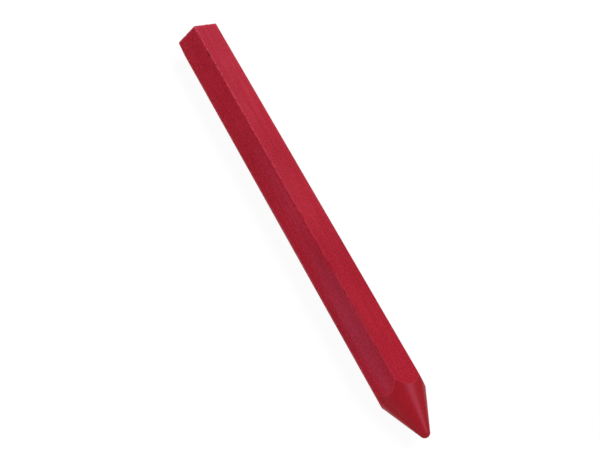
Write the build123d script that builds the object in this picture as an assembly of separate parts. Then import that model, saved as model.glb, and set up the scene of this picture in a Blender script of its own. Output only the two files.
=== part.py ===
"""Six-sided marking crayon for timber: a stick of hard red wax in a thin lacquer coat.

The stick is cut square at its butt and turned to a blunt cone at its point. The turning cuts
through the coat, so the cone is bare wax and the coat ends in a scallop on each flat.

The crayon lies on one of its six flats with its point towards +X. The origin is under the
middle of its length, on the surface that it lies on. All sizes are in millimetres.
"""

import os
from math import cos, radians, sin, tan

from build123d import *

# Sizes over the lacquer
overall_length = 120.0  # butt face to the end of the blunt tip
across_flats = 10.3
ridge_radius = 0.35  # along the six ridges

# The coat, and the point that is turned through it
coat_thickness = 0.08
point_angle = 44.6  # full angle of the cone, in degrees
tip_radius = 1.2  # the ball that blunts the cone

# Places that follow from those sizes
axis_height = across_flats / 2
butt_x = -overall_length / 2
tip_x = overall_length / 2
half_angle = radians(point_angle / 2)
wax_across_flats = across_flats - 2 * coat_thickness
wax_ridge_radius = ridge_radius - coat_thickness
turning_radius = across_flats  # further out than any ridge, so only the cone cuts the bar

# The bar's section lies across the axis: its own X is the crayon's Y, and its own Y is up
butt_plane = Plane(origin=(butt_x, 0, axis_height), x_dir=(0, 1, 0), z_dir=(1, 0, 0))


def six_sided_bar(flats, ridge):
    """A bar from the butt to the tip, with one flat down and rounded ridges."""
    outline = RegularPolygon(flats / 2, 6, major_radius=False)
    section = fillet(outline.vertices(), ridge)
    return extrude(butt_plane * section, overall_length)


def turned_space():
    """The space that the turning leaves: open over the bar, a cone, and a ball at the tip."""
    ball_x = tip_x - tip_radius
    tangent_x = ball_x + tip_radius * sin(half_angle)
    tangent_radius = tip_radius * cos(half_angle)
    shoulder_x = tangent_x - (turning_radius - tangent_radius) / tan(half_angle)
    side = Polyline(
        (butt_x, 0),
        (butt_x, turning_radius),
        (shoulder_x, turning_radius),
        (tangent_x, tangent_radius),
    )
    end = TangentArc((tangent_x, tangent_radius), (tip_x, 0), tangent=side % 1)
    profile = make_face(side + end + Line((tip_x, 0), (butt_x, 0)))
    return Pos(0, 0, axis_height) * revolve(profile, Axis.X)


def wax_core():
    """The marking wax, in one piece from the butt to the point."""
    return six_sided_bar(wax_across_flats, wax_ridge_radius) & turned_space()


def lacquer_coat():
    """The sleeve of lacquer over the six flats, open at the butt and cut away at the cone."""
    sleeve = six_sided_bar(across_flats, ridge_radius)
    sleeve -= six_sided_bar(wax_across_flats, wax_ridge_radius)
    return sleeve & turned_space()


def main():
    """Writes one STEP file for each piece."""
    os.makedirs("parts", exist_ok=True)
    export_step(wax_core(), "parts/wax_core.step")
    export_step(lacquer_coat(), "parts/lacquer_coat.step")


if __name__ == "__main__":
    main()
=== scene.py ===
"""The looks of a hexagonal timber marking crayon, built around its CAD frame.

A drawn stick of hard red wax lies in a thin coat of lacquer. A cutter turned the point through
the coat, so the cone is bare wax and the coat ends in a scallop on each flat. The butt is sawn
square. Lengths are in metres, and the frame gives the sizes and the places.
"""

import logging
from dataclasses import dataclass, field
from enum import Enum
from math import atan2, copysign, cos, exp, pi, radians, sin, sqrt, tan
from random import Random

import bmesh
import bpy
from mathutils import Matrix, Vector, noise


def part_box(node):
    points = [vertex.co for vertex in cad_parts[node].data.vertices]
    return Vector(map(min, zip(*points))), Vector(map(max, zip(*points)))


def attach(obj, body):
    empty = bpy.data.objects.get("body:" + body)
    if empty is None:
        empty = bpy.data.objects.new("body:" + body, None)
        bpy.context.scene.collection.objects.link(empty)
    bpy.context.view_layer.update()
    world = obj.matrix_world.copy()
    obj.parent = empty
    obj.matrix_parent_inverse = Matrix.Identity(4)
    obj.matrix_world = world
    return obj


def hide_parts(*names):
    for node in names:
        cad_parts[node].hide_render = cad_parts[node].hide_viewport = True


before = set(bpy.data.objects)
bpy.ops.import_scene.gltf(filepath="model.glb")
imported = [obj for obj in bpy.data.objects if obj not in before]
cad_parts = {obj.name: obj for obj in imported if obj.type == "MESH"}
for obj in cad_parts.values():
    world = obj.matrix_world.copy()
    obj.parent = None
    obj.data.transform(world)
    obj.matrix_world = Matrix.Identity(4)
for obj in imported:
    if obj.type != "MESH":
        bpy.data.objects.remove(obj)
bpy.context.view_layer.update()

MM = 0.001
LINE_ATTRIBUTE = "die_line"
NICK_ATTRIBUTE = "nick"
# Pale ridges: wear, and a painted highlight along the front top ridge
RUB_AND_HIGHLIGHT_ATTRIBUTE = "rub_and_highlight"
# Hazy patches: from handling, and a painted purplish sheen on the upper front flat and the top
SCUFF_AND_SHEEN_ATTRIBUTE = "scuff_and_sheen"
RING_ATTRIBUTE = "ring"
RIDGE_DEGREES = 30  # from a flat's normal to the ridge beside it
RIDGE_ANGLE = radians(RIDGE_DEGREES)
CONE_HALF_ANGLE = radians(22.3)
TIP_RADIUS = 1.2 * MM
DEEPEST_WEAR = 0.9  # of the coat's thickness, so that no mark cuts through it
MOTTLE_SHARE = 0.65  # of a red's unevenness; the rest of it is slow clouds
VIEW_TARGET = Vector((0.0, -0.96 * MM, 4.53 * MM))

Colour = tuple[float, float, float]
Span = tuple[float, float]
Mesh = bmesh.types.BMesh
Point = bmesh.types.BMVert
Ring = list[bmesh.types.BMEdge]
Node = bpy.types.Node
Socket = bpy.types.NodeSocket
log = logging.getLogger("crayon")


def pattern(first: float, second: float, third: float) -> float:
    """Gives a smooth chance value between -1 and 1, the same each time for the same numbers."""
    return noise.noise(Vector((first, second, third)))


# ---------------------------------------------------------------- sizes of the stick


class Flat(Enum):
    """The six flats. Each value turns straight up to the flat's normal, towards +Y, in degrees."""

    TOP = 0
    BACK_UPPER = 60
    BACK_LOWER = 120
    UNDERSIDE = 180
    FRONT_LOWER = 240
    FRONT_UPPER = 300


@dataclass(frozen=True)
class Place:
    """Where a point lies on the stick's side: on which flat, and how far from its middle."""

    x: float
    flat: Flat
    across: float

    @property
    def ridge(self) -> float:
        """The nearest ridge, as its turn from straight up towards +Y, in degrees."""
        return (self.flat.value + copysign(RIDGE_DEGREES, self.across)) % 360


@dataclass(frozen=True)
class Section:
    """A hexagon with rounded corners and one side down, square to the stick's axis.

    Args:
        apothem: From the axis to a flat.
        ridge_radius: Of each rounded corner.
        axis_height: Of the stick's axis over the surface that it lies on.
    """

    apothem: float
    ridge_radius: float
    axis_height: float

    @property
    def half_flat(self) -> float:
        """From the middle of a flat to the start of a ridge's rounding."""
        return (self.apothem - self.ridge_radius) * tan(RIDGE_ANGLE)

    @property
    def half_side(self) -> float:
        """From the middle of a flat to the crest of a rounded ridge, measured across the flat."""
        return self.half_flat + self.ridge_radius / 2

    @property
    def crest(self) -> float:
        """From the axis to the crest of a rounded ridge."""
        return self.apothem / cos(RIDGE_ANGLE) - self.ridge_radius * (1 / cos(RIDGE_ANGLE) - 1)

    def place(self, spot: Vector) -> Place:
        """Finds the flat that a point of the side lies on, and where on it.

        Args:
            spot: A point on the side.

        Returns:
            Where it lies.
        """
        sixth = round(atan2(spot.y, spot.z - self.axis_height) / (2 * RIDGE_ANGLE)) % 6
        turn = sixth * 2 * RIDGE_ANGLE
        across = spot.y * cos(turn) - (spot.z - self.axis_height) * sin(turn)
        return Place(spot.x, Flat(sixth * 2 * RIDGE_DEGREES), across)

    def normal(self, spot: Vector) -> Vector:
        """Finds the way out of the surface.

        Args:
            spot: A point on the side.

        Returns:
            A unit vector square to the axis.
        """
        place = self.place(spot)
        turn = radians(place.flat.value)
        out = Vector((0.0, sin(turn), cos(turn)))
        if abs(place.across) <= self.half_flat:
            return out
        along = Vector((0.0, cos(turn), -sin(turn)))
        centre = out * (self.apothem - self.ridge_radius) + along * copysign(self.half_flat, place.across)
        return (Vector((0.0, spot.y, spot.z - self.axis_height)) - centre).normalized()

    def draw(self, mesh: Mesh, x: float, ridge_steps: int, flat_steps: int) -> Ring:
        """Draws the section's outline across the axis.

        Args:
            mesh: What it is drawn in.
            x: Its place along the axis.
            ridge_steps: Edges around each ridge.
            flat_steps: Edges across each flat.

        Returns:
            The outline's edges.
        """
        upright = Matrix(((0, 0, -1, x), (0, 1, 0, 0), (1, 0, 0, self.axis_height), (0, 0, 0, 1)))
        corners = bmesh.ops.create_circle(
            mesh, cap_ends=True, segments=6, radius=self.apothem / cos(RIDGE_ANGLE), matrix=upright
        )["verts"]
        bmesh.ops.bevel(
            mesh,
            geom=corners,
            offset=self.ridge_radius * tan(RIDGE_ANGLE),
            segments=ridge_steps,
            profile=0.5,
            affect="VERTICES",
            material=-1,
        )
        face = next(f for f in mesh.faces if len(f.verts) >= 6 * (ridge_steps + 1))
        longest = [e for e in face.edges if e.calc_length() > self.half_flat]
        bmesh.ops.subdivide_edges(mesh, edges=longest, cuts=flat_steps - 1)
        outline = list(face.edges)
        bmesh.ops.delete(mesh, geom=[face], context="FACES_ONLY")
        return outline


@dataclass(frozen=True)
class Turning:
    """The cone that a cutter turned on the stick, and the marks that it left.

    Args:
        apex_x: Where the cone would end if it were sharp.
        half_angle: Of the cone, in radians.
        tip_radius: Of the ball that blunts it.
        axis_height: Of the cone's axis.
        run_out: Of the cone's axis from the stick's, towards +Y: the stick sat a little askew.
        feed: How far the cutter moved in each turn of the stick.
        mark_depth: How deep its marks are.
        drift: How far the marks stray from an even thread, in turns.
        unevenness: How much the marks' strength varies.
    """

    apex_x: float
    half_angle: float
    tip_radius: float
    axis_height: float
    run_out: float = 0.10 * MM
    feed: float = 0.92 * MM
    mark_depth: float = 0.011 * MM
    drift: float = 0.35
    unevenness: float = 0.35

    @property
    def ball_x(self) -> float:
        """The middle of the ball."""
        return self.apex_x - self.tip_radius / sin(self.half_angle)

    @property
    def tangent_radius(self) -> float:
        """The cone's radius where it meets the ball."""
        return self.tip_radius * cos(self.half_angle)

    def spoke(self, spot: Vector) -> Vector:
        """Gives the way from the cone's axis to a point, square to the axis."""
        return Vector((0.0, spot.y - self.run_out, spot.z - self.axis_height))

    def radius(self, spot: Vector) -> float:
        """Gives a point's distance from the cone's axis."""
        return self.spoke(spot).length

    def x_at(self, radius: float) -> float:
        """Gives the place along the axis where the cut surface has a radius.

        Args:
            radius: Of the cut surface.

        Returns:
            The place.
        """
        if radius >= self.tangent_radius:
            return self.apex_x - radius / tan(self.half_angle)
        return self.ball_x + sqrt(self.tip_radius**2 - radius**2)

    def normal(self, spot: Vector) -> Vector:
        """Gives the way out of the cone at a point."""
        out = self.spoke(spot).normalized()
        return out * cos(self.half_angle) + Vector((sin(self.half_angle), 0.0, 0.0))

    def mark(self, spot: Vector) -> float:
        """Gives the height of the cutter's marks.

        Args:
            spot: A point on the cone.

        Returns:
            From 0 in a groove to 1 on a crest. The crests run round as a screw thread does.
        """
        spoke = self.spoke(spot)
        turn = atan2(spoke.y, spoke.z) / (2 * pi)
        drift = self.drift * pattern(spot.x / (2.3 * MM), spot.y / (5 * MM), spot.z / (5 * MM))
        crest = 0.5 + 0.5 * cos(2 * pi * (spot.x / self.feed - turn + drift))
        strength = 1 - self.unevenness + self.unevenness * pattern(spot.x / (3.1 * MM), 7.0, turn * 3)
        return max(0.0, 1 - (1 - crest) * strength)

    def depth(self, spot: Vector) -> float:
        """Gives how far the marks lie below the true cone at a point."""
        return self.mark_depth * (1 - self.mark(spot))


@dataclass(frozen=True)
class Stick:
    """The sizes that the coat and the core share, all measured on the frame."""

    butt_x: float
    tip_x: float
    outside: Section
    wax: Section
    turning: Turning

    @classmethod
    def from_frame(cls, half_angle: float, tip_radius: float) -> "Stick":
        """Measures the CAD nodes.

        Args:
            half_angle: Of the cone, in radians, which no box shows.
            tip_radius: Of the ball that blunts the cone.

        Returns:
            The stick.
        """
        coat_low, coat_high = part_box("lacquer_coat")
        wax_low, wax_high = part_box("wax_core")
        axis_height = (coat_low.z + coat_high.z) / 2
        outside = cls.section(coat_low, coat_high, axis_height)
        wax = cls.section(wax_low, wax_high, axis_height)
        apex_x = wax_high.x + tip_radius * (1 / sin(half_angle) - 1)
        turning = Turning(apex_x, half_angle, tip_radius, axis_height)
        return cls(coat_low.x, wax_high.x, outside, wax, turning)

    @property
    def coat_thickness(self) -> float:
        """Of the lacquer, square to a flat."""
        return self.outside.apothem - self.wax.apothem

    @staticmethod
    def section(low: Vector, high: Vector, axis_height: float) -> Section:
        """Works out a section from a node's box: its height is across flats, its width over ridges.

        Args:
            low: The box's low corner.
            high: Its high corner.
            axis_height: Of the stick's axis.

        Returns:
            The section.
        """
        apothem = (high.z - low.z) / 2
        over_ridges = (high.y - low.y) / 2
        ridge_radius = (apothem / cos(RIDGE_ANGLE) - over_ridges) / (1 / cos(RIDGE_ANGLE) - 1)
        return Section(apothem, ridge_radius, axis_height)


# ---------------------------------------------------------------- wear of the coat, with painted highlight, sheen and shade


@dataclass(frozen=True)
class DieLine:
    """A shallow groove that the die drew along a flat.

    Args:
        flat: The flat that it is on.
        across: Its distance from the flat's middle.
        width: Of the groove.
        depth: At its deepest.
        start: Where it begins, along the axis.
        end: Where it ends.
        fade: The length over which it fades out at each end.
    """

    flat: Flat
    across: float
    width: float
    depth: float
    start: float
    end: float
    fade: float = 6 * MM

    def at(self, place: Place) -> float:
        """Gives the groove's depth at a place.

        Args:
            place: Where.

        Returns:
            The depth, which is 0 outside the groove.
        """
        if place.flat is not self.flat or not self.start < place.x < self.end:
            return 0.0
        share = min(1.0, (place.x - self.start) / self.fade, (self.end - place.x) / self.fade)
        return self.depth * share * exp(-(((place.across - self.across) / (self.width / 2)) ** 2))


@dataclass(frozen=True)
class Patch:
    """A part of a flat that a knock has dented, that handling has left hazy, or that carries a painted sheen.

    Args:
        flat: The flat that it is on.
        x: Its middle, along the axis.
        across: Its middle, from the flat's own middle.
        length: Along the stick.
        width: Across the flat.
        amount: In its middle: a nick's depth, or the strength of a haze or of a painted sheen, from 0 to 1.
        evenness: 1 where it falls off from its middle, 2 where it is even up to its rim.
    """

    flat: Flat
    x: float
    across: float
    length: float
    width: float
    amount: float
    evenness: int = 1

    def at(self, place: Place) -> float:
        """Gives the amount at a place.

        Args:
            place: Where.

        Returns:
            The amount, which falls to 0 outside the patch.
        """
        if place.flat is not self.flat:
            return 0.0
        along = (place.x - self.x) / (self.length / 2)
        over = (place.across - self.across) / (self.width / 2)
        return self.amount * exp(-((along**2 + over**2) ** self.evenness))


@dataclass(frozen=True)
class RubAndHighlight:
    """A pale stretch of a ridge: wear, and along the front top ridge a painted highlight.

    Args:
        ridge: The ridge's turn from straight up towards +Y, in degrees.
        start: Where the stretch begins, along the axis.
        end: Where it ends.
        strength: Near its start, from 0 to 1. It fades out towards its end.
        width: Of the pale line.
    """

    ridge: float
    start: float
    end: float
    strength: float
    width: float = 0.3 * MM

    def at(self, place: Place, half_side: float) -> float:
        """Gives the strength of the pale stretch at a place.

        Args:
            place: Where.
            half_side: From the middle of a flat to the crest of its ridge.

        Returns:
            The strength, from 0 to 1.
        """
        if place.ridge != self.ridge or not self.start < place.x < self.end:
            return 0.0
        share = (place.x - self.start) / (self.end - self.start)
        aside = (half_side - abs(place.across)) / (self.width / 2)
        return self.strength * (1 - share**3) * exp(-(aside**2))


@dataclass(frozen=True)
class CoatWearAndPaintedLight:
    """What drawing, handling and storage left in the lacquer, with a painted highlight along the front top
    ridge and a painted sheen on the top and upper front flats.

    Args:
        stick: The stick's sizes.
        limit: The deepest that the marks may go, so that none cuts through the coat.
        seed: Of the marks that are placed by chance.
        waviness: How deep the slow unevenness of the drawn surface is.
        lines_per_flat: Die lines placed by chance on each flat.
        nicks_per_flat: Nicks placed by chance on each flat's ridge.
        chip: About how far the coat has crumbled back from the butt.
        full_line: The groove depth that shows in full.
        full_nick: The nick depth that shows in full.
        lines: The die lines, once they are scattered.
        nicks: The nicks.
        rubs_and_highlights: The pale stretches of the ridges: wear, and the painted highlight along the front
            top ridge.
        scuffs_and_sheens: The hazy patches of handling, and the painted sheen on the upper front flat and the
            top.
    """

    stick: Stick
    limit: float
    seed: int = 12
    waviness: float = 0.018 * MM
    lines_per_flat: int = 9
    nicks_per_flat: int = 6
    chip: float = 0.16 * MM
    full_line: float = 0.03 * MM
    full_nick: float = 0.06 * MM
    lines: list[DieLine] = field(default_factory=list)
    nicks: list[Patch] = field(default_factory=list)
    rubs_and_highlights: list[RubAndHighlight] = field(default_factory=list)
    scuffs_and_sheens: list[Patch] = field(default_factory=list)

    def scatter(self) -> None:
        """Places the die lines, the nicks, the worn ridges and the hazy patches, flat by flat, and then the
        front's marks with their painted highlight and painted sheen.
        """
        chance = Random(self.seed)
        for flat in Flat:
            self.lines.extend(self.chance_line(flat, chance) for _ in range(self.lines_per_flat))
            self.nicks.extend(self.chance_nick(flat, chance) for _ in range(self.nicks_per_flat))
            start = self.stick.butt_x + chance.uniform(0, 50) * MM
            if flat not in (Flat.TOP, Flat.FRONT_UPPER):
                end = start + chance.uniform(25, 55) * MM
                self.rubs_and_highlights.append(RubAndHighlight(flat.value + RIDGE_DEGREES, start, end, chance.uniform(0.3, 0.7)))
                self.scuffs_and_sheens.append(self.chance_scuff(flat, chance))
        self.mark_front()

    def chance_line(self, flat: Flat, chance: Random) -> DieLine:
        """Draws a die line's place and size by chance.

        Args:
            flat: The flat that it is on.
            chance: What draws the numbers.

        Returns:
            The die line.
        """
        start = chance.uniform(self.stick.butt_x - 10 * MM, self.stick.tip_x - 50 * MM)
        across = chance.uniform(-0.95, 0.95) * self.stick.outside.half_flat
        width = chance.uniform(0.16, 0.34) * MM
        depth = chance.uniform(0.006, 0.018) * MM
        return DieLine(flat, across, width, depth, start, start + chance.uniform(25, 80) * MM)

    def chance_nick(self, flat: Flat, chance: Random) -> Patch:
        """Draws a nick's place and size by chance, where the flat's rounding starts.

        Args:
            flat: The flat that it is on.
            chance: What draws the numbers.

        Returns:
            The nick.
        """
        x = chance.uniform(self.stick.butt_x, self.stick.tip_x - 14 * MM)
        length = chance.uniform(0.5, 1.8) * MM
        width = chance.uniform(0.25, 0.4) * MM
        return Patch(flat, x, self.stick.outside.half_flat, length, width, chance.uniform(0.02, 0.045) * MM)

    def chance_scuff(self, flat: Flat, chance: Random) -> Patch:
        """Draws a hazy patch's place and size by chance.

        Args:
            flat: The flat that it is on.
            chance: What draws the numbers.

        Returns:
            The hazy patch.
        """
        x = chance.uniform(self.stick.butt_x, self.stick.tip_x - 20 * MM)
        across = chance.uniform(-0.5, 0.5) * self.stick.outside.half_flat
        length = chance.uniform(25, 60) * MM
        width = chance.uniform(2, 5) * MM
        return Patch(flat, x, across, length, width, chance.uniform(0.4, 0.9), evenness=2)

    def mark_front(self) -> None:
        """Places the marks of the upper front flat, its top ridge and the flat above it: die lines, a nick, a
        painted highlight along the ridge and a painted sheen on both flats.
        """
        flat = Flat.FRONT_UPPER
        butt_x = self.stick.butt_x
        half_flat = self.stick.outside.half_flat
        for share, width, depth, start, length in (
            (0.22, 0.3, 0.020, 62, 44),
            (0.36, 0.2, 0.026, 48, 52),
            (0.50, 0.3, 0.030, 66, 46),
            (0.62, 0.2, 0.024, 58, 32),
            (0.71, 0.3, 0.028, 74, 40),
            (0.84, 0.2, 0.014, 70, 40),
        ):
            start_x = butt_x + start * MM
            end_x = start_x + length * MM
            self.lines.append(DieLine(flat, share * half_flat, width * MM, depth * MM, start_x, end_x))
        nick_x = butt_x + 9.6 * MM
        self.nicks.append(Patch(flat, nick_x, half_flat - 0.15 * MM, 1.4 * MM, 0.55 * MM, 0.07 * MM))
        # Painted highlight: pale stretches along the front top ridge, from the butt to mid-length, a wider
        # one at the butt's corner and a faint one near the cone
        for start, end, strength, width in ((-1, 78, 0.8, 0.36), (-2, 6, 1.0, 0.55), (88, 110, 0.25, 0.3)):
            ridge = flat.value + RIDGE_DEGREES
            self.rubs_and_highlights.append(RubAndHighlight(ridge, butt_x + start * MM, butt_x + end * MM, strength, width * MM))
        # Painted sheen: purplish hazy patches on the point half of the upper front flat and on the top near
        # the butt
        for flat, x, across, length, width, strength in (
            (Flat.FRONT_UPPER, 92, 0.7, 44, 4.8, 1.0),
            (Flat.FRONT_UPPER, 54, 1.4, 36, 2.4, 0.45),
            (Flat.TOP, 4, 0.0, 30, 7, 0.15),
        ):
            sizes = (across * MM, length * MM, width * MM)
            self.scuffs_and_sheens.append(Patch(flat, butt_x + x * MM, *sizes, strength, evenness=2))

    def line(self, place: Place) -> float:
        """Gives how deep the die lines are at a place."""
        return sum(line.at(place) for line in self.lines)

    def nick(self, place: Place) -> float:
        """Gives how deep the nicks are at a place."""
        return max(nick.at(place) for nick in self.nicks)

    def looks(self, place: Place) -> dict[str, float]:
        """Gives how strongly each kind of wear, the painted highlight and the painted sheen show.

        Args:
            place: Where.

        Returns:
            From 0 to 1, by the attribute that holds it.
        """
        return {
            LINE_ATTRIBUTE: min(1.0, self.line(place) / self.full_line),
            NICK_ATTRIBUTE: min(1.0, self.nick(place) / self.full_nick),
            RUB_AND_HIGHLIGHT_ATTRIBUTE: max(rub_and_highlight.at(place, self.stick.outside.half_side) for rub_and_highlight in self.rubs_and_highlights),
            SCUFF_AND_SHEEN_ATTRIBUTE: max(scuff_and_sheen.at(place) for scuff_and_sheen in self.scuffs_and_sheens),
        }

    def sag(self, spot: Vector) -> float:
        """Gives the slow unevenness of a drawn surface at a point.

        Args:
            spot: A point on the side.

        Returns:
            How far it lies below the true surface.
        """
        slow = pattern(spot.x / (17 * MM), spot.y / (4 * MM), spot.z / (4 * MM))
        quick = pattern(spot.x / (4 * MM), spot.y / (1.3 * MM), spot.z / (1.3 * MM) + 9)
        return self.waviness * (0.5 + 0.38 * slow + 0.12 * quick)

    def depth(self, spot: Vector, place: Place) -> float:
        """Gives how far the worn surface lies below the true one, never more than the limit."""
        return min(self.limit, self.sag(spot) + self.line(place) + self.nick(place))

    def chipped(self, spot: Vector) -> float:
        """Gives how far the coat has crumbled back from the butt, round the stick.

        Args:
            spot: A point near the butt.

        Returns:
            The distance along the stick.
        """
        coarse = pattern(spot.y / (1.1 * MM), spot.z / (1.1 * MM), 3.0)
        fine = pattern(spot.y / (0.35 * MM), spot.z / (0.35 * MM), 5.0)
        return self.chip * max(0.0, 0.2 + 0.9 * coarse + 0.5 * fine)


# ---------------------------------------------------------------- mesh building


def next_ring(mesh: Mesh, ring: Ring) -> Ring:
    """Extrudes a ring of edges.

    Args:
        mesh: The mesh that the ring is in.
        ring: The edges.

    Returns:
        The new ring, which still lies where the old one does.
    """
    grown = bmesh.ops.extrude_edge_only(mesh, edges=ring)["geom"]
    points = {item for item in grown if isinstance(item, Point)}
    return [item for item in grown if isinstance(item, bmesh.types.BMEdge) and points.issuperset(item.verts)]


def points_of(*rings: Ring) -> list[Point]:
    """Lists the points of some rings, each once."""
    return list(dict.fromkeys(point for ring in rings for edge in ring for point in edge.verts))


def moved_to(mesh: Mesh, ring: Ring, x: float) -> Ring:
    """Extrudes a ring along the axis.

    Args:
        mesh: The mesh that the ring is in.
        ring: The edges.
        x: Where the new ring lies.

    Returns:
        The new ring.
    """
    grown = next_ring(mesh, ring)
    points = points_of(grown)
    bmesh.ops.translate(mesh, verts=points, vec=(x - points[0].co.x, 0, 0))
    return grown


def stations(start: float, end: float, spacing: float) -> list[float]:
    """Divides a length evenly.

    Args:
        start: The first place, which is left out.
        end: The last place.
        spacing: About how far apart they are.

    Returns:
        The places.
    """
    count = max(1, round(abs(end - start) / spacing))
    return [start + (end - start) * step / count for step in range(1, count + 1)]


def shown(name: str, mesh: Mesh, materials: list[bpy.types.Material]) -> bpy.types.Object:
    """Turns a finished mesh into a piece of the scene.

    Args:
        name: The piece's name.
        mesh: Its mesh, which is freed.
        materials: Its materials, in the order of the faces' numbers.

    Returns:
        The piece.
    """
    bmesh.ops.recalc_face_normals(mesh, faces=mesh.faces)
    for face in mesh.faces:
        face.smooth = True
    data = bpy.data.meshes.new(name)
    mesh.to_mesh(data)
    mesh.free()
    for material in materials:
        data.materials.append(material)
    piece = bpy.data.objects.new(name, data)
    bpy.context.scene.collection.objects.link(piece)
    log.info("%s: %d faces", name, len(data.polygons))
    return piece


# ---------------------------------------------------------------- shader tools


class Wiring:
    """Adds nodes to a node tree and joins them.

    Args:
        tree: The node tree of a material, a world or a group.
    """

    def __init__(self, tree: bpy.types.NodeTree) -> None:
        """Empties the tree."""
        self.tree = tree
        tree.nodes.clear()

    def add(self, kind: str, **settings: object) -> Node:
        """Adds a node of a kind, such as TexNoise, and sets its properties.

        Args:
            kind: The node's type, without the word that all of them start with.
            settings: Its properties.

        Returns:
            The node.
        """
        node = self.tree.nodes.new("ShaderNode" + kind)
        for name, value in settings.items():
            setattr(node, name, value)
        return node

    def feed(self, socket: Socket, value: object) -> None:
        """Joins a socket to another, or sets it to a plain value.

        Args:
            socket: An input.
            value: An output's socket, a colour or a number.
        """
        if isinstance(value, Socket):
            self.tree.links.new(value, socket)
        elif isinstance(value, tuple) and socket.type == "RGBA":
            socket.default_value = (*value, 1.0)
        else:
            socket.default_value = value

    def feed_all(self, node: Node, values: dict[str, object]) -> Node:
        """Feeds a node's inputs by name, and gives the node.

        Args:
            node: The node.
            values: What each input gets, by the input's name.

        Returns:
            The same node.
        """
        for name, value in values.items():
            self.feed(node.inputs[name], value)
        return node

    def math(self, operation: str, *values: object) -> Socket:
        """Works out one number.

        Args:
            operation: Such as ADD or MULTIPLY.
            values: Numbers or sockets.

        Returns:
            The result's socket.
        """
        node = self.add("Math", operation=operation)
        for socket, value in zip(node.inputs, values):
            self.feed(socket, value)
        return node.outputs[0]

    def times(self, first: object, second: object) -> Socket:
        """Multiplies two numbers."""
        return self.math("MULTIPLY", first, second)

    def ramp(self, value: object, low: float, high: float, to: Span = (0.0, 1.0)) -> Socket:
        """Turns a stretch of values into another, smoothly and without going past its ends.

        Args:
            value: A number or a socket.
            low: The value that gives the first result.
            high: The value that gives the second.
            to: The two results.

        Returns:
            The result's socket.
        """
        node = self.add("MapRange", interpolation_type="SMOOTHSTEP", clamp=True)
        for socket, setting in zip(node.inputs, (value, low, high, *to)):
            self.feed(socket, setting)
        return node.outputs[0]

    def mix(self, share: object, first: object, second: object) -> Socket:
        """Mixes two colours.

        Args:
            share: How much of the second, from 0 to 1.
            first: A colour or a socket.
            second: A colour or a socket.

        Returns:
            The mixed colour's socket.
        """
        node = self.add("Mix", data_type="RGBA", clamp_factor=True)
        colours = [socket for socket in node.inputs if socket.type == "RGBA"]
        for socket, value in zip((node.inputs[0], *colours), (share, first, second)):
            self.feed(socket, value)
        return next(socket for socket in node.outputs if socket.type == "RGBA")

    def layered(self, base: object, *layers: tuple[object, float, Colour]) -> Socket:
        """Lays colours over a colour, one after another.

        Args:
            base: The colour under them.
            layers: For each, a mask, how much the layer covers there, and its colour.

        Returns:
            The last colour's socket.
        """
        for mask, cover, colour in layers:
            base = self.mix(self.times(mask, cover), base, colour)
        return base

    def noise(self, place: object, scale: object, detail: float, rough: float = 0.5) -> Socket:
        """Adds a cloudy noise around 0.5.

        Args:
            place: Where it is read.
            scale: How many waves there are in a metre.
            detail: How many finer layers it has.
            rough: How strong those are.

        Returns:
            The noise's socket.
        """
        node = self.add("TexNoise", noise_dimensions="3D")
        self.feed_all(node, {"Vector": place, "Scale": scale, "Detail": detail, "Roughness": rough})
        return node.outputs["Fac"]

    def stretched(self, place: object, factors: Colour, shift: float = 0.0) -> Socket:
        """Scales a place along each axis, and shifts it so that two patterns don't agree.

        Args:
            place: The place's socket.
            factors: For each axis, how much it is scaled.
            shift: How far it is shifted.

        Returns:
            The scaled place's socket.
        """
        location = (shift, 1.7 * shift, 0.6 * shift)
        node = self.add("Mapping")
        return self.feed_all(node, {"Vector": place, "Location": location, "Scale": factors}).outputs[0]

    def object_place(self) -> Socket:
        """Gives a point's place on the stick."""
        return self.add("TexCoord").outputs["Object"]

    def axes(self, place: Socket) -> dict[str, Socket]:
        """Gives the three parts of a place, by name.

        Args:
            place: The place's socket.

        Returns:
            The sockets of X, Y and Z.
        """
        node = self.add("SeparateXYZ")
        self.feed(node.inputs[0], place)
        return {socket.name: socket for socket in node.outputs}

    def attribute(self, name: str) -> Socket:
        """Gives a number that the mesh holds for each point."""
        return self.add("Attribute", attribute_name=name).outputs["Fac"]


@dataclass(frozen=True)
class Effect:
    """A node group that several materials use.

    Args:
        name: The group's name.
        inputs: The names of its number inputs, with the values that they start with.
        outputs: The names of its number outputs.
    """

    name: str
    inputs: dict[str, float]
    outputs: tuple[str, ...]

    def open(self) -> tuple[Wiring, Node, Node]:
        """Makes the empty group.

        Returns:
            Its wiring, its input node and its output node.
        """
        tree = bpy.data.node_groups.new(self.name, "ShaderNodeTree")
        for name, value in self.inputs.items():
            socket = tree.interface.new_socket(name, in_out="INPUT", socket_type="NodeSocketFloat")
            socket.default_value = value
        for name in self.outputs:
            tree.interface.new_socket(name, in_out="OUTPUT", socket_type="NodeSocketFloat")
        wiring = Wiring(tree)
        return wiring, tree.nodes.new("NodeGroupInput"), tree.nodes.new("NodeGroupOutput")

    def place(self, wiring: Wiring, values: dict[str, float] | None = None) -> dict[str, Socket]:
        """Puts the group in a material.

        Args:
            wiring: The material's wiring.
            values: The material's own values for the group's inputs.

        Returns:
            The group's outputs, by name.
        """
        node = wiring.add("Group", node_tree=bpy.data.node_groups[self.name])
        wiring.feed_all(node, values or {})
        return {socket.name: socket for socket in node.outputs}


GRAIN = Effect(
    "grain along the stick",
    {"Spacing": 3200.0, "Clouds": 90.0, "Mottle": 3000.0, "Speckle": 7000.0},
    ("Lines", "Streaks", "Clouds", "Mottle", "Speckle"),
)
EDGE_WEAR = Effect(
    "wear along edges",
    {"Axis Height": 0.005, "Flat": 0.005, "Ridge": 0.0058, "Butt": -0.06, "Rim": 0.0005},
    ("Ridge", "Rim"),
)
BLOOM = Effect("pale bloom", {"Scale": 160.0, "Cover": 0.5}, ("Haze",))


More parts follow.
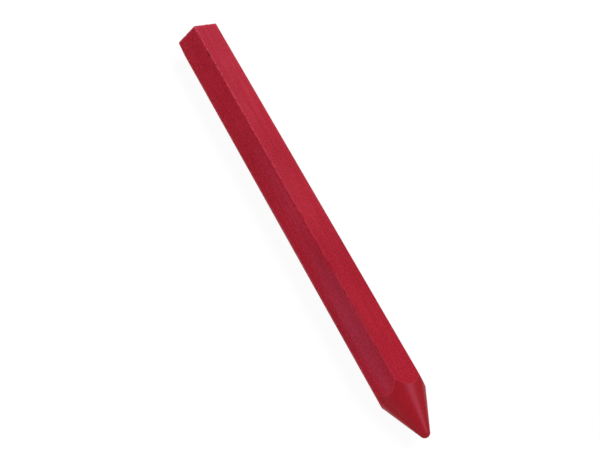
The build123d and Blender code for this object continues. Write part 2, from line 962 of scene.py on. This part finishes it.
def build_grain() -> None:
    """Makes the grain: fine drawn lines, broader streaks, slow clouds, a mottle and a fine speckle."""
    wiring, given, result = GRAIN.open()
    place = wiring.object_place()
    spacing = given.outputs["Spacing"]
    fine = wiring.noise(wiring.stretched(place, (0.022, 1, 1)), spacing, 2.0, 0.6)
    broad = wiring.noise(wiring.stretched(place, (0.035, 1, 1), 0.31), wiring.times(spacing, 0.27), 2.0, 0.55)
    clouds = wiring.noise(wiring.stretched(place, (0.4, 1, 1), 0.77), given.outputs["Clouds"], 3.0, 0.5)
    mottle = wiring.noise(wiring.stretched(place, (0.7, 1, 1), 0.19), given.outputs["Mottle"], 2.0, 0.6)
    wiring.feed_all(
        result,
        {
            "Lines": wiring.ramp(fine, 0.36, 0.64),
            "Streaks": wiring.ramp(broad, 0.34, 0.66),
            "Clouds": wiring.ramp(clouds, 0.3, 0.7),
            "Mottle": wiring.ramp(mottle, 0.3, 0.7),
            "Speckle": wiring.noise(place, given.outputs["Speckle"], 1.0, 0.5),
        },
    )


def build_edge_wear() -> None:
    """Makes the wear: masks for the ridges and for the butt's rim, each broken up by noise."""
    wiring, given, result = EDGE_WEAR.open()
    place = wiring.object_place()
    axes = wiring.axes(place)
    flat = given.outputs["Flat"]
    height = wiring.math("SUBTRACT", axes["Z"], given.outputs["Axis Height"])
    squares = wiring.math("ADD", wiring.times(height, height), wiring.times(axes["Y"], axes["Y"]))
    above = wiring.math("SUBTRACT", wiring.math("SQRT", squares), flat)
    span = wiring.math("SUBTRACT", given.outputs["Ridge"], flat)
    crest = wiring.ramp(wiring.math("DIVIDE", above, span), 0.84, 1.0)
    broken = wiring.ramp(wiring.noise(wiring.stretched(place, (0.25, 1, 1), 0.13), 900.0, 3.0), 0.38, 0.6)
    inside = wiring.math("SUBTRACT", axes["X"], given.outputs["Butt"])
    near = wiring.ramp(wiring.math("DIVIDE", inside, given.outputs["Rim"]), 1.0, 0.0)
    crumbs = wiring.ramp(wiring.noise(place, 1500.0, 2.0), 0.42, 0.6)
    wiring.feed_all(result, {"Ridge": wiring.times(crest, broken), "Rim": wiring.times(near, crumbs)})


def build_bloom() -> None:
    """Makes the bloom: a soft pale haze in patches, as wax and dust leave on a stick in use."""
    wiring, given, result = BLOOM.open()
    place = wiring.stretched(wiring.object_place(), (0.35, 1, 1), 0.53)
    patches = wiring.noise(place, given.outputs["Scale"], 3.0, 0.6)
    lifted = wiring.math("ADD", wiring.math("ADD", patches, given.outputs["Cover"]), -0.5)
    wiring.feed(result.inputs["Haze"], wiring.ramp(lifted, 0.42, 0.72))


# ---------------------------------------------------------------- finishes


@dataclass(frozen=True)
class Shine:
    """How a surface shines.

    Args:
        squarely: The specular level where the surface is seen squarely.
        aslant: The level where it is seen aslant, if another: soft wax dulls there.
        turned: How far it is turned away where the level starts and stops changing, from 0 to 1.
        tint: Of what it mirrors.
        ior: Its index of refraction.
    """

    squarely: float
    aslant: float | None = None
    turned: Span = (0.0, 1.0)
    tint: Colour = (1.0, 1.0, 1.0)
    ior: float = 1.45

    def apply(self, wiring: Wiring, shader: Node) -> None:
        """Gives the shine to a shader.

        Args:
            wiring: The material's wiring.
            shader: Its shader.
        """
        level = self.squarely
        if self.aslant is not None:
            # A plain number times a pattern, because an export keeps only the number
            away = wiring.add("LayerWeight").outputs["Facing"]
            fall = wiring.ramp(away, *self.turned, (1.0, self.aslant / self.squarely))
            level = wiring.times(self.squarely, fall)
        values = {"IOR": self.ior, "Specular Tint": self.tint, "Specular IOR Level": level}
        wiring.feed_all(shader, values)


class Surface:
    """A material with one principled shader."""

    def __init__(self, name: str) -> None:
        """Adds the shader and the output.

        Args:
            name: The material's name.
        """
        self.material = bpy.data.materials.new(name)
        self.material.use_nodes = True
        self.wiring = Wiring(self.material.node_tree)
        self.shader = self.wiring.add("BsdfPrincipled")
        output = self.wiring.add("OutputMaterial")
        self.wiring.feed(output.inputs["Surface"], self.shader.outputs["BSDF"])

    def finish(
        self, colour: Socket, rough: Socket, height: Socket, relief: float, shine: Shine
    ) -> bpy.types.Material:
        """Joins everything to the shader.

        Args:
            colour: The base colour.
            rough: The roughness.
            height: Of the finest relief, from 0 in a hollow to 1 on a crest.
            relief: How high that relief is.
            shine: How the surface shines.

        Returns:
            The material.
        """
        bump = self.wiring.add("Bump")
        self.wiring.feed_all(bump, {"Strength": 1.0, "Distance": relief, "Height": height})
        values = {"Base Color": colour, "Roughness": rough, "Normal": bump.outputs["Normal"]}
        self.wiring.feed_all(self.shader, values)
        shine.apply(self.wiring, self.shader)
        return self.material


def blotches(wiring: Wiring, grain: dict[str, Socket]) -> Socket:
    """Gives an uneven tone: a fine mottle over slow clouds."""
    clouds = wiring.times(grain["Clouds"], 1 - MOTTLE_SHARE)
    return wiring.math("MULTIPLY_ADD", grain["Mottle"], MOTTLE_SHARE, clouds)


def pebbled(wiring: Wiring, grain: dict[str, Socket], lines: Socket, shares: Span) -> Socket:
    """Gives the height of a relief of lines and pebbles.

    Args:
        wiring: The material's wiring.
        grain: The grain's outputs.
        lines: The lines' height.
        shares: How much of the lines counts, and how much of the pebbles.

    Returns:
        The height's socket.
    """
    pebbles = wiring.math("ADD", grain["Speckle"], grain["Mottle"])
    return wiring.math("MULTIPLY_ADD", lines, shares[0], wiring.times(pebbles, shares[1]))


@dataclass(frozen=True)
class DrawnLacquer:
    """Satin red lacquer over drawn wax: lines along the stick, worn ridges, a faint bloom, a painted
    highlight along the front top ridge, a painted sheen in patches and painted shade in the nicks.
    """

    stick: Stick
    deep: Colour = (0.315, 0.0020, 0.0100)
    warm: Colour = (0.505, 0.0185, 0.0360)
    line: Colour = (0.27, 0.0060, 0.014)
    # Near black: painted shade in the nicks
    painted_nick_shade: Colour = (0.09, 0.0035, 0.008)
    # Pale wear of the ridges and the rim, also the colour of the painted highlight along the front top ridge
    pale_wear_and_highlight: Colour = (0.62, 0.075, 0.120)
    # The bloom's colour, also the colour of the painted purplish sheen
    haze: Colour = (0.47, 0.12, 0.235)
    line_cover: float = 0.25
    groove_cover: float = 0.45
    ridge_cover: float = 0.2
    rim_cover: float = 0.7
    rim_width: float = 0.8 * MM
    rough: Span = (0.50, 0.58)
    hazy_rough: float = 0.08
    relief: float = 0.014 * MM
    shine: Shine = Shine(0.14, aslant=0.02, turned=(0.35, 0.6), tint=(1.0, 0.5, 0.9))

    def material(self) -> bpy.types.Material:
        """Builds the material.

        Returns:
            The material.
        """
        surface = Surface("drawn lacquer")
        wiring = surface.wiring
        grain = GRAIN.place(wiring)
        haze = BLOOM.place(wiring, {"Cover": 0.45})["Haze"]
        streaked = wiring.ramp(grain["Streaks"], 0.0, 1.0, self.rough)
        rough = wiring.math("ADD", streaked, wiring.times(haze, self.hazy_rough))
        height = pebbled(wiring, grain, grain["Lines"], (0.4, 0.3))
        return surface.finish(self.colour(wiring, grain, haze), rough, height, self.relief, self.shine)

    def colour(self, wiring: Wiring, grain: dict[str, Socket], haze: Socket) -> Socket:
        """Lays the drawn lines, the haze with the painted sheen, the wear with the painted highlight, and the
        painted shade of the nicks over the red.

        Args:
            wiring: The material's wiring.
            grain: The grain's outputs.
            haze: The bloom's haze.

        Returns:
            The colour's socket.
        """
        faint = wiring.times(haze, wiring.ramp(grain["Streaks"], 0.1, 0.9, (0.01, 0.035)))
        lined = wiring.ramp(grain["Lines"], 0.0, 1.0, (0.08, 0.15))
        # Painted sheen along the lines where the hazy patches lie, with the haze of handling on the other
        # flats
        handling_haze_and_sheen = wiring.times(wiring.attribute(SCUFF_AND_SHEEN_ATTRIBUTE), lined)
        mottled = wiring.ramp(grain["Mottle"], 0.2, 0.9, (0.3, 1.0))
        # Painted highlight along the front top ridge, with the pale wear of the other ridges
        worn_and_highlit = wiring.times(wiring.attribute(RUB_AND_HIGHLIGHT_ATTRIBUTE), mottled)
        return wiring.layered(
            wiring.mix(blotches(wiring, grain), self.deep, self.warm),
            (wiring.times(grain["Lines"], grain["Streaks"]), self.line_cover, self.line),
            (wiring.math("ADD", faint, handling_haze_and_sheen), 1.0, self.haze),
            (wiring.attribute(LINE_ATTRIBUTE), self.groove_cover, self.line),
            (wiring.math("MAXIMUM", self.edges(wiring), worn_and_highlit), 1.0, self.pale_wear_and_highlight),
            # Painted shade in the nicks
            (wiring.attribute(NICK_ATTRIBUTE), 1.0, self.painted_nick_shade),
        )

    def edges(self, wiring: Wiring) -> Socket:
        """Gives how pale the ridges and the crumbled rim are.

        Args:
            wiring: The material's wiring.

        Returns:
            The mask's socket.
        """
        outside = self.stick.outside
        sizes = {
            "Axis Height": outside.axis_height,
            "Flat": outside.apothem,
            "Ridge": outside.crest,
            "Butt": self.stick.butt_x,
            "Rim": self.rim_width,
        }
        wear = EDGE_WEAR.place(wiring, sizes)
        ridges = wiring.times(wear["Ridge"], self.ridge_cover)
        return wiring.math("MAXIMUM", ridges, wiring.times(wear["Rim"], self.rim_cover))


@dataclass(frozen=True)
class ScrapedLacquer:
    """The coat where it was cut through: a thin pale edge, rough and without lines."""

    light: Colour = (0.50, 0.028, 0.05)
    dark: Colour = (0.34, 0.012, 0.022)
    cloud_cover: float = 0.5
    rough: Span = (0.5, 0.7)
    relief: float = 0.01 * MM
    shine: Shine = Shine(0.15)

    def material(self) -> bpy.types.Material:
        """Builds the material.

        Returns:
            The material.
        """
        surface = Surface("scraped lacquer")
        wiring = surface.wiring
        grain = GRAIN.place(wiring, {"Spacing": 2400.0})
        speckle = grain["Speckle"]
        colour = wiring.mix(wiring.ramp(speckle, 0.3, 0.7), self.dark, self.light)
        colour = wiring.layered(colour, (grain["Clouds"], self.cloud_cover, self.light))
        rough = wiring.ramp(speckle, 0.2, 0.8, self.rough)
        return surface.finish(colour, rough, speckle, self.relief, self.shine)


@dataclass(frozen=True)
class TurnedWax:
    """Bare wax that a cutter turned: darker than the coat, with rings round the cone."""

    deep: Colour = (0.305, 0.0060, 0.0120)
    warm: Colour = (0.415, 0.0115, 0.0195)
    crest: Colour = (0.44, 0.0145, 0.024)
    haze: Colour = (0.42, 0.07, 0.13)
    ring_cover: float = 0.26
    score_cover: float = 0.16
    haze_cover: float = 0.05
    fine_feed: float = 0.21 * MM
    rough: Span = (0.32, 0.38)
    hazy_rough: float = 0.05
    relief: float = 0.006 * MM
    shine: Shine = Shine(0.26, aslant=0.06, turned=(0.2, 0.42), tint=(0.9, 0.42, 0.68))

    def material(self) -> bpy.types.Material:
        """Builds the material.

        Returns:
            The material.
        """
        surface = Surface("turned wax")
        wiring = surface.wiring
        grain = GRAIN.place(wiring, {"Spacing": 1800.0, "Clouds": 260.0})
        haze = BLOOM.place(wiring, {"Scale": 420.0, "Cover": 0.42})["Haze"]
        along = wiring.times(wiring.axes(wiring.object_place())["X"], 2 * pi / self.fine_feed)
        phase = wiring.math("ADD", along, wiring.times(grain["Clouds"], 2.2))
        scores = wiring.math("MULTIPLY_ADD", wiring.math("SINE", phase), 0.5, 0.5)
        colour = wiring.layered(
            wiring.mix(blotches(wiring, grain), self.deep, self.warm),
            (wiring.attribute(RING_ATTRIBUTE), self.ring_cover, self.crest),
            (scores, self.score_cover, self.crest),
            (haze, self.haze_cover, self.haze),
        )
        mottled = wiring.ramp(grain["Mottle"], 0.0, 1.0, self.rough)
        rough = wiring.math("ADD", mottled, wiring.times(haze, self.hazy_rough))
        height = pebbled(wiring, grain, scores, (0.5, 0.25))
        return surface.finish(colour, rough, height, self.relief, self.shine)


@dataclass(frozen=True)
class SawnWax:
    """Bare wax at the butt: dull, with the saw's marks across it and paler crumbs at its rim."""

    deep: Colour = (0.26, 0.008, 0.015)
    warm: Colour = (0.35, 0.012, 0.02)
    torn: Colour = (0.45, 0.045, 0.07)
    crumb_cover: float = 0.35
    haze_cover: float = 0.12
    rough: Span = (0.6, 0.75)
    relief: float = 0.03 * MM
    shine: Shine = Shine(0.15)

    def material(self) -> bpy.types.Material:
        """Builds the material.

        Returns:
            The material.
        """
        surface = Surface("sawn wax")
        wiring = surface.wiring
        place = wiring.object_place()
        strokes = wiring.noise(wiring.stretched(place, (1, 0.12, 1.0), 0.4), 2600.0, 3.0, 0.6)
        saw = wiring.ramp(strokes, 0.35, 0.65)
        crumbs = wiring.ramp(wiring.noise(place, 2100.0, 3.0, 0.6), 0.5, 0.68)
        haze = BLOOM.place(wiring, {"Scale": 500.0, "Cover": 0.5})["Haze"]
        colour = wiring.mix(saw, self.deep, self.warm)
        layers = ((crumbs, self.crumb_cover, self.torn), (haze, self.haze_cover, self.torn))
        colour = wiring.layered(colour, *layers)
        height = wiring.math("ADD", wiring.times(saw, 0.7), wiring.times(crumbs, 0.3))
        rough = wiring.ramp(saw, 0.0, 1.0, self.rough)
        return surface.finish(colour, rough, height, self.relief, self.shine)


# ---------------------------------------------------------------- the crayon's two pieces


@dataclass
class LacquerCoat:
    """The lacquer: a sleeve over the six flats, chipped at the butt and scalloped at the cone."""

    stick: Stick
    wear: CoatWearAndPaintedLight
    ridge_steps: int = 6
    flat_steps: int = 50
    ring_spacing: float = 0.95 * MM
    chip_reach: float = 1.4 * MM
    scallop_reach: float = 6 * MM

    def mesh(self) -> Mesh:
        """Models the sleeve.

        Returns:
            Its mesh, with the worn outside, the plain inside and the two cut ends.
        """
        mesh = bmesh.new()
        names = (LINE_ATTRIBUTE, NICK_ATTRIBUTE, RUB_AND_HIGHLIGHT_ATTRIBUTE, SCUFF_AND_SHEEN_ATTRIBUTE)
        for name in names:
            mesh.verts.layers.float.new(name)
        layers = {name: mesh.verts.layers.float[name] for name in names}
        outside, butt_x = self.stick.outside, self.stick.butt_x
        last_x = self.stick.turning.x_at(outside.apothem)
        outer = [outside.draw(mesh, butt_x, self.ridge_steps, self.flat_steps)]
        for x in stations(butt_x, last_x, self.ring_spacing):
            outer.append(moved_to(mesh, outer[-1], x))
        inner = [self.stick.wax.draw(mesh, butt_x, self.ridge_steps, self.flat_steps)]
        for x in (butt_x + self.chip_reach, last_x - self.scallop_reach, last_x):
            inner.append(moved_to(mesh, inner[-1], x))
        self.close_end(mesh, outer[0], inner[0])
        self.close_end(mesh, outer[-1], inner[-1])
        self.cut_ends(outer + inner, last_x)
        for point in points_of(*outer):
            place = outside.place(point.co)
            for name, strength in self.wear.looks(place).items():
                point[layers[name]] = strength
            point.co -= outside.normal(point.co) * self.wear.depth(point.co, place)
        return mesh

    def close_end(self, mesh: Mesh, outer: Ring, inner: Ring) -> None:
        """Closes a cut end, from the inside out to the outside.

        Args:
            mesh: The sleeve.
            outer: The outside's last ring.
            inner: The inside's last ring, in the same plane.
        """
        seats = points_of(outer)
        targets = {}
        for point in points_of(next_ring(mesh, inner)):
            spot = point.co + self.stick.wax.normal(point.co) * self.stick.coat_thickness
            targets[point] = min(seats, key=lambda seat: (seat.co - spot).length_squared)
        bmesh.ops.weld_verts(mesh, targetmap=targets)
        inside = set(points_of(inner))
        for face in {face for edge in outer for face in edge.link_faces}:
            if not inside.isdisjoint(face.verts):
                face.material_index = 1
        for edge in outer + inner:
            edge.smooth = False

    def cut_ends(self, rings: list[Ring], last_x: float) -> None:
        """Draws the tubes' ends in: crumbled at the butt, and along the cone at the point.

        Args:
            rings: The tubes' rings.
            last_x: Where the last of each tube lies.
        """
        keep_x = last_x - self.scallop_reach
        for point in points_of(*rings):
            spot = point.co
            if spot.x > keep_x:
                end_x = self.stick.turning.x_at(self.stick.turning.radius(spot))
                spot.x = keep_x + (spot.x - keep_x) * (end_x - keep_x) / self.scallop_reach
            near_butt = 1 - (spot.x - self.stick.butt_x) / self.chip_reach
            if near_butt > 0:
                spot.x += near_butt * self.wear.chipped(spot)

    def build(self) -> bpy.types.Object:
        """Models the coat, dresses it and hands it to the frame.

        Returns:
            The piece.
        """
        self.wear.scatter()
        finishes = [DrawnLacquer(self.stick).material(), ScrapedLacquer().material()]
        piece = shown("lacquer_coat_drawn", self.mesh(), finishes)
        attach(piece, "root")
        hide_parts("lacquer_coat")
        return piece


@dataclass
class WaxCore:
    """The wax: a hexagonal stick with a sawn butt and a turned, blunted cone."""

    stick: Stick
    ridge_steps: int = 4
    flat_steps: int = 34
    cone_rings: int = 120
    ball_rings: int = 14
    butt_rings: int = 16
    saw_depth: float = 0.03 * MM

    def mesh(self) -> Mesh:
        """Models the stick.

        Returns:
            Its mesh, closed at both ends.
        """
        mesh = bmesh.new()
        marks = mesh.verts.layers.float.new(RING_ATTRIBUTE)
        turning = self.stick.turning
        rim = self.stick.wax.draw(mesh, self.stick.butt_x, self.ridge_steps, self.flat_steps)
        ring = moved_to(mesh, rim, turning.x_at(self.stick.wax.apothem))
        for point in points_of(ring):
            point.co.x = turning.x_at(turning.radius(point.co))
        for edge in rim + ring:
            edge.smooth = False
        for point in self.turn_cone(mesh, ring):
            point[marks] = turning.mark(point.co)
            point.co -= turning.normal(point.co) * turning.depth(point.co)
        self.close_butt(mesh, rim)
        return mesh

    def close_butt(self, mesh: Mesh, rim: Ring) -> None:
        """Fills the butt with rings that shrink to the axis, and cuts the saw's marks in it.

        Args:
            mesh: The stick.
            rim: The outline of its butt.
        """
        side = set(mesh.faces)
        centre = Matrix.Translation((0, 0, -self.stick.wax.axis_height))
        ring = rim
        for left in range(self.butt_rings - 1, 0, -1):
            ring = next_ring(mesh, ring)
            share = left / (left + 1)
            bmesh.ops.scale(mesh, verts=points_of(ring), vec=(1, share, share), space=centre)
        bmesh.ops.edgeloop_fill(mesh, edges=ring)
        butt = [face for face in mesh.faces if face not in side]
        for face in butt:
            face.material_index = 1
        for point in {point for face in butt for point in face.verts}:
            marks = pattern(point.co.y / (6 * MM), point.co.z / (0.5 * MM), 2.0)
            point.co.x += self.saw_depth * (0.5 + 0.5 * marks)

    def turn_cone(self, mesh: Mesh, ring: Ring) -> list[Point]:
        """Adds the cone and the ball.

        Args:
            mesh: The stick.
            ring: The line where the cone cuts the flats.

        Returns:
            The points of the cut surface.
        """
        turning = self.stick.turning
        cone = [ring]
        for left in range(self.cone_rings - 1, -1, -1):
            cone.append(next_ring(mesh, cone[-1]))
            for point in points_of(cone[-1]):
                beyond = turning.radius(point.co) - turning.tangent_radius
                self.put(point, turning.tangent_radius + beyond * left / (left + 1))
        for step in range(1, self.ball_rings + 1):
            cone.append(next_ring(mesh, cone[-1]))
            lean = (pi / 2 - turning.half_angle) * (1 - step / (self.ball_rings + 0.5))
            for point in points_of(cone[-1]):
                self.put(point, turning.tip_radius * sin(lean))
        bmesh.ops.edgeloop_fill(mesh, edges=cone[-1])
        return points_of(*cone)

    def put(self, point: Point, radius: float) -> None:
        """Moves a point to a radius, along the cut surface.

        Args:
            point: The point.
            radius: From the cone's axis.
        """
        turning = self.stick.turning
        centre = Vector((turning.x_at(radius), turning.run_out, turning.axis_height))
        point.co = centre + turning.spoke(point.co).normalized() * radius

    def build(self) -> bpy.types.Object:
        """Models the core, dresses it and hands it to the frame.

        Returns:
            The piece.
        """
        piece = shown("wax_core_turned", self.mesh(), [TurnedWax().material(), SawnWax().material()])
        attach(piece, "root")
        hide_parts("wax_core")
        return piece


# ---------------------------------------------------------------- the studio


@dataclass(frozen=True)
class Lamp:
    """A square soft lamp.

    Args:
        name: The lamp's name.
        target: The point that it is aimed at.
        towards: From that point to the lamp, as a direction.
        distance: Between the two.
        size: Of its side.
        level: The light that it brings to a surface square to it, where 1 shows a colour as written.
        tint: Its colour.
    """

    name: str
    target: Vector
    towards: Vector
    distance: float
    size: float
    level: float
    tint: Colour = (1.0, 1.0, 1.0)

    def build(self) -> None:
        """Puts the lamp in the scene."""
        light = bpy.data.lights.new(self.name, "AREA")
        light.shape = "SQUARE"
        light.size = self.size
        light.color = self.tint
        # A surface shows its colour as written where the light on it is pi, and a lamp of power P
        # brings P / (pi * distance**2) to its target
        light.energy = self.level * pi**2 * self.distance**2
        lamp = bpy.data.objects.new(self.name, light)
        lamp.visible_camera = False
        away = self.towards.normalized()
        turn = away.to_track_quat("Z", "Y").to_matrix().to_4x4()
        lamp.matrix_world = Matrix.Translation(self.target + away * self.distance) @ turn
        bpy.context.scene.collection.objects.link(lamp)


@dataclass(frozen=True)
class Viewpoint:
    """The camera: what it is aimed at, from where, and how it leans.

    Args:
        target: The point at the middle of the view.
        heading: From +Y towards +X, in degrees.
        elevation: Over the floor, in degrees.
        lean: Of the camera's top towards its right, in degrees.
        distance: From the target.
        lens: Focal length, in millimetres.
        sensor: Width of the sensor, in millimetres.
        nearest: What is nearer than this isn't drawn.
    """

    target: Vector
    heading: float = -47.199
    elevation: float = 46.290
    lean: float = -22.455
    distance: float = 0.3751
    lens: float = 98.91
    sensor: float = 36.0
    nearest: float = 10 * MM

    def build(self) -> None:
        """Puts the camera in the scene."""
        heading, elevation, lean = map(radians, (self.heading, self.elevation, self.lean))
        ahead = Vector((sin(heading) * cos(elevation), cos(heading) * cos(elevation), -sin(elevation)))
        level_right = Vector((cos(heading), -sin(heading), 0.0))
        up = level_right.cross(ahead) * cos(lean) + level_right * sin(lean)
        data = bpy.data.cameras.new("camera")
        data.lens = self.lens
        data.sensor_width = self.sensor
        data.clip_start = self.nearest
        camera = bpy.data.objects.new("camera", data)
        turn = Matrix((ahead.cross(up), up, -ahead)).transposed().to_4x4()
        camera.matrix_world = Matrix.Translation(self.target - ahead * self.distance) @ turn
        bpy.context.scene.collection.objects.link(camera)
        bpy.context.scene.camera = camera


@dataclass(frozen=True)
class Studio:
    """A white floor, a white surround and soft lamps.

    Args:
        stick: The stick's sizes.
        sky_level: The light of the surround.
        floor_size: Of the floor's side.
        floor_colour: What it is where light falls on it.
        floor_glow: How much of what is seen of the floor is plain white.
        glow_level: How bright that white is.
    """

    stick: Stick
    sky_level: float = 0.31
    floor_size: float = 6.0
    floor_colour: Colour = (0.86, 0.86, 0.86)
    floor_glow: float = 0.9
    glow_level: float = 1.04

    @staticmethod
    def seen_plainly(wiring: Wiring) -> Socket:
        """Gives 1 for what the camera sees, also in a reflection or through glass.

        Args:
            wiring: Of the material or the world that asks.

        Returns:
            The mask's socket.
        """
        path = wiring.add("LightPath").outputs
        reflected = wiring.math("MAXIMUM", path["Is Glossy Ray"], path["Is Transmission Ray"])
        return wiring.math("MAXIMUM", path["Is Camera Ray"], reflected)

    def build_world(self) -> None:
        """Makes the surround: white to look at, and a plain light from all sides."""
        world = bpy.data.worlds.new("surround")
        world.use_nodes = True
        bpy.context.scene.world = world
        wiring = Wiring(world.node_tree)
        level = wiring.ramp(self.seen_plainly(wiring), 0.0, 1.0, (self.sky_level, 1.0))
        background = wiring.feed_all(wiring.add("Background"), {"Color": (1.0, 1.0, 1.0), "Strength": level})
        wiring.feed_all(wiring.add("OutputWorld"), {"Surface": background.outputs[0]})

    def build_floor(self) -> None:
        """Makes the floor that the crayon lies on: it looks white, and keeps a soft shadow."""
        mesh = bmesh.new()
        bmesh.ops.create_grid(mesh, x_segments=1, y_segments=1, size=self.floor_size / 2)
        data = bpy.data.meshes.new("floor")
        mesh.to_mesh(data)
        mesh.free()
        floor = bpy.data.objects.new("floor", data)
        bpy.context.scene.collection.objects.link(floor)
        material = bpy.data.materials.new("white floor")
        material.use_nodes = True
        data.materials.append(material)
        wiring = Wiring(material.node_tree)
        plain = wiring.feed_all(wiring.add("BsdfDiffuse"), {"Color": self.floor_colour})
        white = {"Color": (1.0, 1.0, 1.0), "Strength": self.glow_level}
        glow = wiring.feed_all(wiring.add("Emission"), white)
        mixed = wiring.add("MixShader")
        share = wiring.times(self.seen_plainly(wiring), self.floor_glow)
        for socket, value in zip(mixed.inputs, (share, plain.outputs[0], glow.outputs[0])):
            wiring.feed(socket, value)
        wiring.feed_all(wiring.add("OutputMaterial"), {"Surface": mixed.outputs[0]})

    def lamps(self) -> list[Lamp]:
        """Lists the lamps: one over the point, one over the butt, and a weak one at the front.

        Returns:
            The lamps.
        """
        height = self.stick.outside.axis_height
        point = Vector((self.stick.tip_x - 8 * MM, 0.0, height))
        butt = Vector((self.stick.butt_x, 0.0, height))
        middle = Vector((0.0, 0.0, height))
        return [
            Lamp(
                "lamp over the point",
                target=point,
                towards=Vector((0.27, 0.31, 0.91)),
                distance=0.9,
                size=0.46,
                level=0.46,
            ),
            Lamp(
                "lamp over the butt",
                target=butt,
                towards=Vector((-0.50, 0.45, 0.74)),
                distance=0.2,
                size=0.08,
                level=0.42,
                tint=(0.96, 0.97, 1.0),
            ),
            Lamp(
                "lamp at the front",
                target=middle,
                towards=Vector((-0.3, -0.85, 0.43)),
                distance=0.9,
                size=0.5,
                level=0.27,
            ),
        ]

    def build(self) -> None:
        """Builds the floor, the surround, the lamps and the camera."""
        self.build_world()
        self.build_floor()
        for lamp in self.lamps():
            lamp.build()
        Viewpoint(VIEW_TARGET).build()
        bpy.context.scene.view_settings.view_transform = "Standard"


def corners(box: tuple[Vector, Vector]) -> list[list[float]]:
    """Gives a box's two corners as plain lists of numbers."""
    return [list(corner) for corner in box]


def main() -> None:
    """Builds the crayon and its studio."""
    logging.basicConfig(level=logging.INFO, format="%(name)s: %(message)s")
    for build in (build_grain, build_edge_wear, build_bloom):
        build()
    stick = Stick.from_frame(CONE_HALF_ANGLE, TIP_RADIUS)
    wear = CoatWearAndPaintedLight(stick, limit=DEEPEST_WEAR * stick.coat_thickness)
    Studio(stick).build()
    for part in (WaxCore(stick), LacquerCoat(stick, wear)):
        piece = part.build()
        log.info("built %s", piece.name)


if __name__ == "__main__":
    main()
